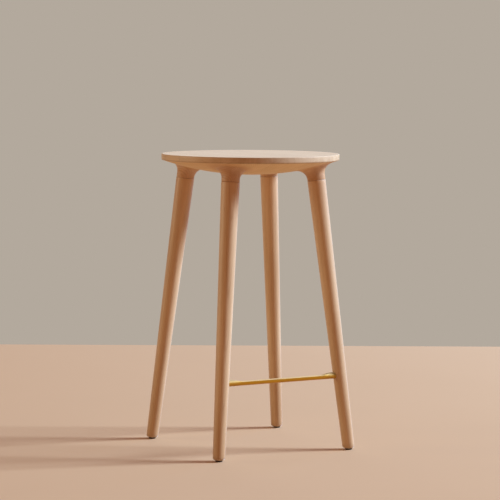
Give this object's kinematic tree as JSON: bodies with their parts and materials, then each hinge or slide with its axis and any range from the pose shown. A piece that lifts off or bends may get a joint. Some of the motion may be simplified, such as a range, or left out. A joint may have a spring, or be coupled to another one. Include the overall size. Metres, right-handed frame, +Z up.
{
  "type": "counter stool with footrest",
  "caption": "Round wooden stool with carved leg sockets under a domed seat, tapered splayed legs and a brass footrest bar between the front legs.",
  "frame": {"origin": "on the floor, under the centre of the seat", "axes": "+Z up; +Y to the back; +X to the right as seen from the front, along the footrest, which joins the two front legs on the -Y side"},
  "size_m": [0.394, 0.394, 0.65],
  "materials": {
    "seat_wood": "soap-finished pale hardwood, glued up from staves, satin",
    "leg_wood": "soap-finished pale hardwood, turned, satin",
    "brass": "brushed along the bar, unlacquered",
    "zinc_plate": "bright zinc plate",
    "glide_nylon": "matt moulded nylon",
    "felt": "dense dark felt"
  },
  "bodies": {
    "root": {"seat": "seat_wood", "leg_front_left": "leg_wood", "leg_front_right": "leg_wood", "leg_back_right": "leg_wood", "leg_back_left": "leg_wood", "hanger_bolt_front_left": "zinc_plate", "hanger_bolt_front_right": "zinc_plate", "hanger_bolt_back_right": "zinc_plate", "hanger_bolt_back_left": "zinc_plate", "threaded_insert_front_left": "zinc_plate", "threaded_insert_front_right": "zinc_plate", "threaded_insert_back_right": "zinc_plate", "threaded_insert_back_left": "zinc_plate", "footrest_bar": "brass", "glide_carrier_front_left": "glide_nylon", "glide_carrier_front_right": "glide_nylon", "glide_carrier_back_right": "glide_nylon", "glide_carrier_back_left": "glide_nylon", "felt_pad_front_left": "felt", "felt_pad_front_right": "felt", "felt_pad_back_right": "felt", "felt_pad_back_left": "felt"}
  },
  "joints": []
}
